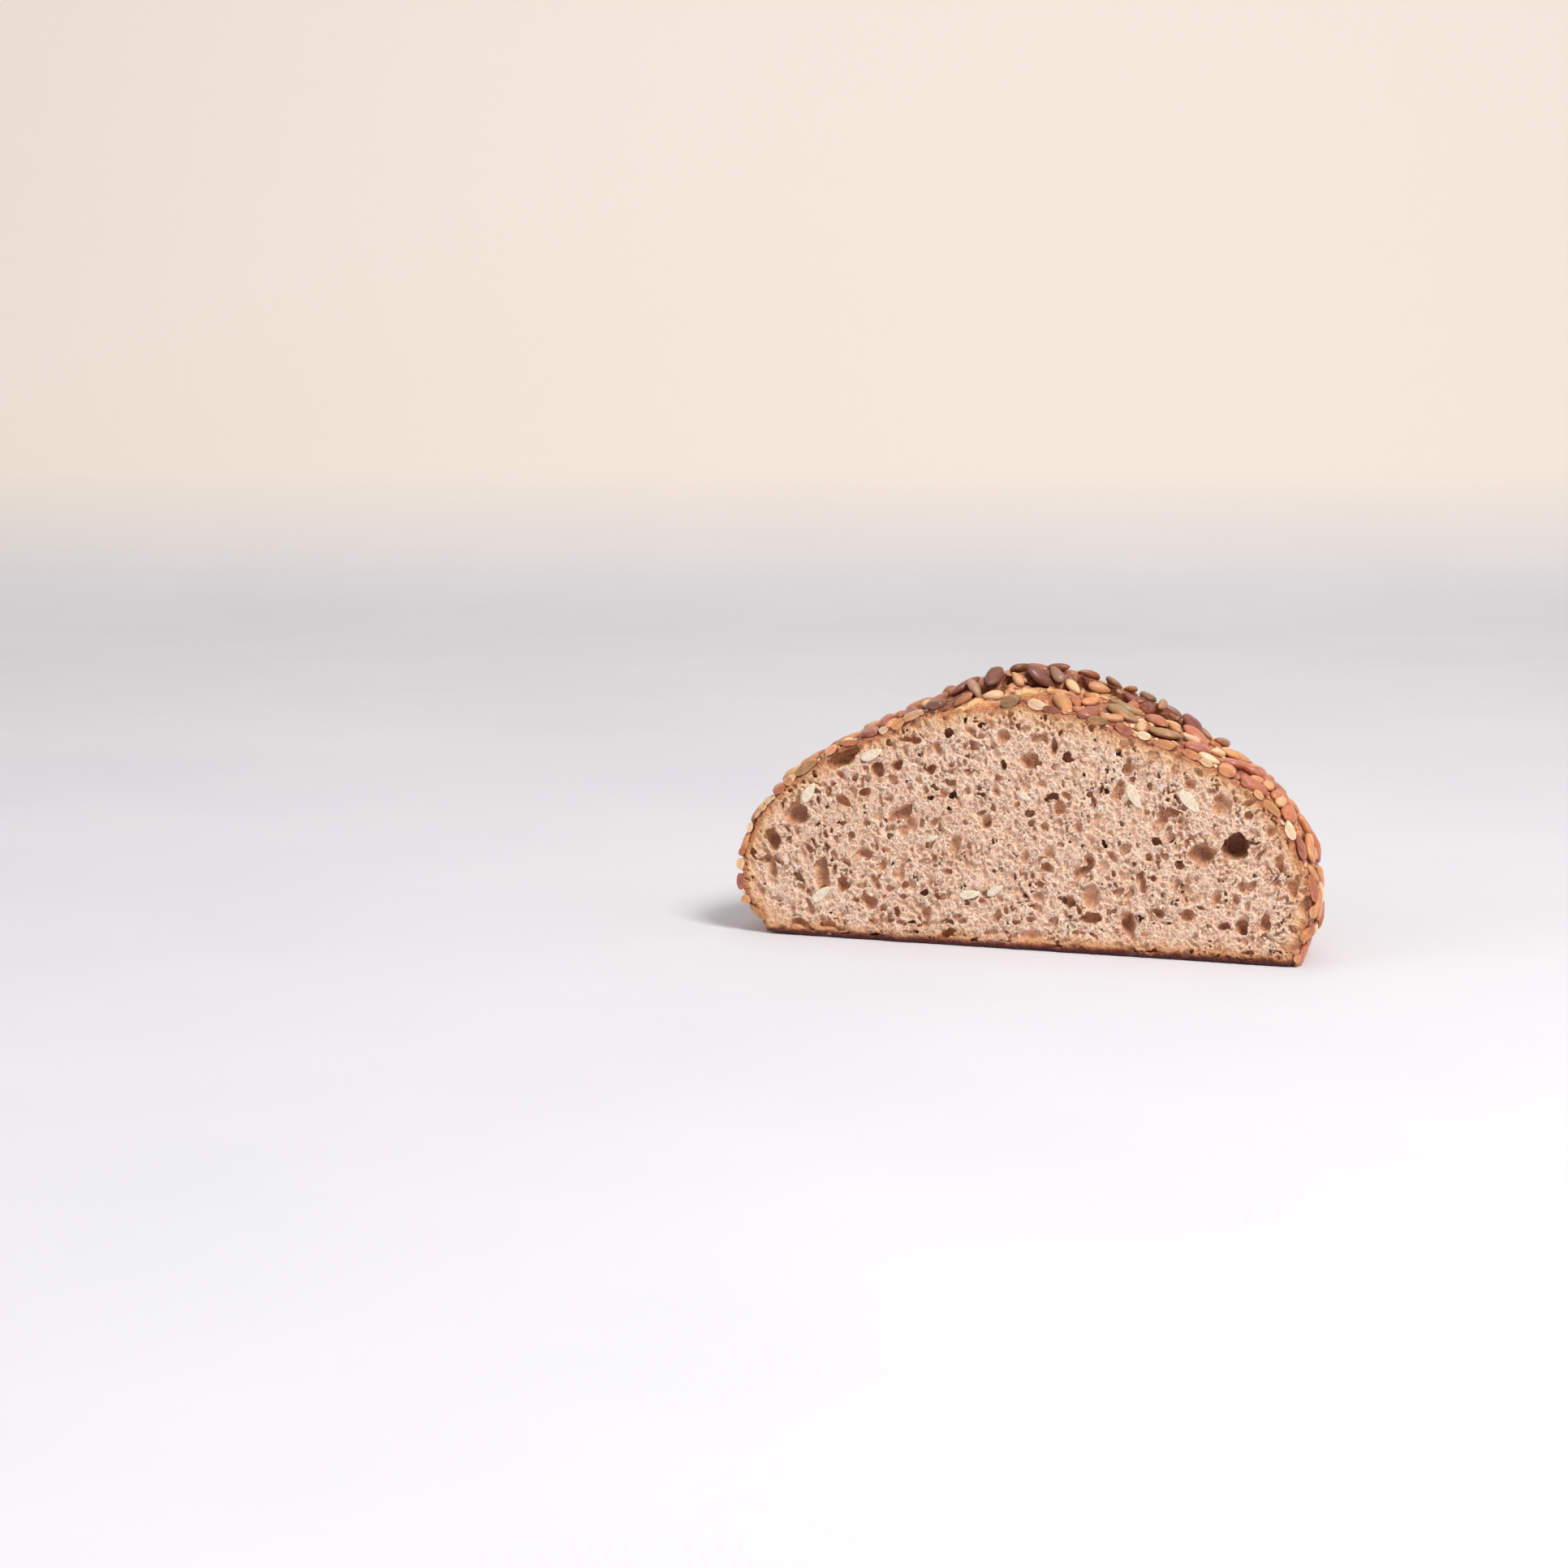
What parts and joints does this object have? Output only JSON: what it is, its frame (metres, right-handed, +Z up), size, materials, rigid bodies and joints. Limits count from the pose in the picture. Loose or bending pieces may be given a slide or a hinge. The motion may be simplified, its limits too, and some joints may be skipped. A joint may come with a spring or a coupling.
{
  "type": "sourdough loaf half",
  "caption": "Half of a round seeded sourdough loaf, cut across to show the open crumb, standing on its baked base.",
  "frame": {"origin": "middle of the underside of the part's box, on the surface the half loaf stands on", "axes": "+Z up; the flat cut face looks along -Y and the rounded end of the loaf lies towards +Y; +X runs along the cut face, to the right as the crumb is seen"},
  "size_m": [0.2296, 0.117, 0.1044],
  "materials": {
    "crust": "baked crust: matt to faintly waxy, orange-brown to dark chestnut, rough, floury in the folds",
    "crumb": "cut crumb: matt, soft, pale tan, open pores of many sizes",
    "pumpkin_seed": "toasted hulled pumpkin seed: satin, olive green to orange-brown and dark plum, finely wrinkled",
    "sunflower_kernel": "toasted sunflower kernel: matt to satin, tan to brown",
    "sesame_seed": "toasted sesame seed: matt cream to gold",
    "seed_flesh": "pale inside of a seed that the knife went through"
  },
  "bodies": {
    "root": {"half_loaf": "crust"}
  },
  "joints": []
}
